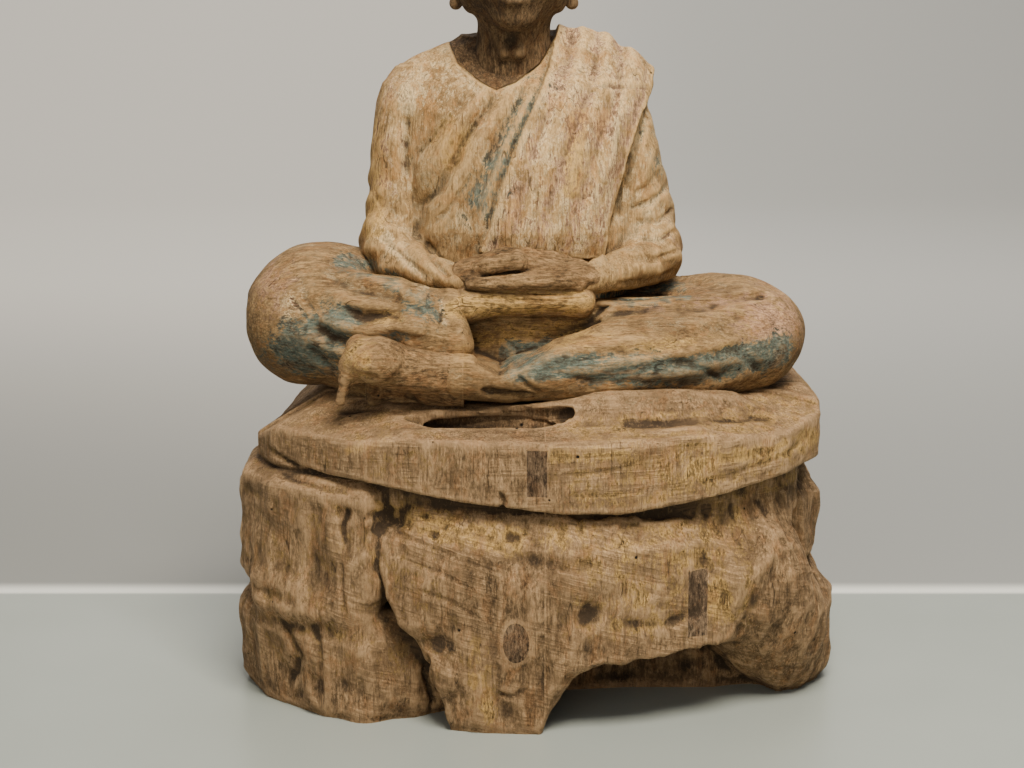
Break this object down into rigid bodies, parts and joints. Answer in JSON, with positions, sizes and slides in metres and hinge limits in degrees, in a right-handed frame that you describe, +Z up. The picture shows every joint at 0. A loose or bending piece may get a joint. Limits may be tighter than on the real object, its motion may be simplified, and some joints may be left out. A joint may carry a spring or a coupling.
{
  "type": "seated buddha statue",
  "caption": "Seated monk Buddha of joined, carved and faded painted wood on a stepped rockwork base, with lift-out head and a dedication cavity in the back.",
  "frame": {"origin": "middle of the bounding box at the underside of the base", "axes": "+Z up, the figure looks along -Y, +X to its left hand"},
  "size_m": [0.319, 0.236, 0.4406],
  "materials": {
    "painted_wood": "matte",
    "bare_wood": "matte",
    "base_wood": "matte",
    "dark_inlay": "matte",
    "peg_wood": "matte",
    "forged_iron": "rough"
  },
  "bodies": {
    "statue": {"torso_front": "painted_wood", "torso_back": "painted_wood", "right_arm": "painted_wood", "left_arm": "painted_wood", "hands": "bare_wood", "right_foot": "bare_wood", "left_foot": "bare_wood", "right_leg": "painted_wood", "left_leg": "painted_wood", "base_left": "base_wood", "base_right": "base_wood", "ledge_key": "dark_inlay", "oval_plug": "dark_inlay", "square_plug": "dark_inlay", "torso_dowels": "peg_wood", "arm_dowels": "peg_wood", "leg_dowels": "peg_wood", "lap_dowels": "peg_wood", "hand_dowel": "peg_wood", "foot_dowels": "peg_wood", "seat_dowels": "peg_wood", "base_dowels": "peg_wood", "base_staples": "forged_iron"},
    "head": {"head": "bare_wood"},
    "cavity_cover": {"cavity_cover": "painted_wood"}
  },
  "joints": [
    {"name": "head_lift", "type": "slide", "parent": "statue", "child": "head", "axis": [0, 0, 1], "range_m": [0, 0.05]},
    {"name": "cover_pull", "type": "slide", "parent": "statue", "child": "cavity_cover", "axis": [0, 1, 0], "range_m": [0, 0.03]}
  ]
}
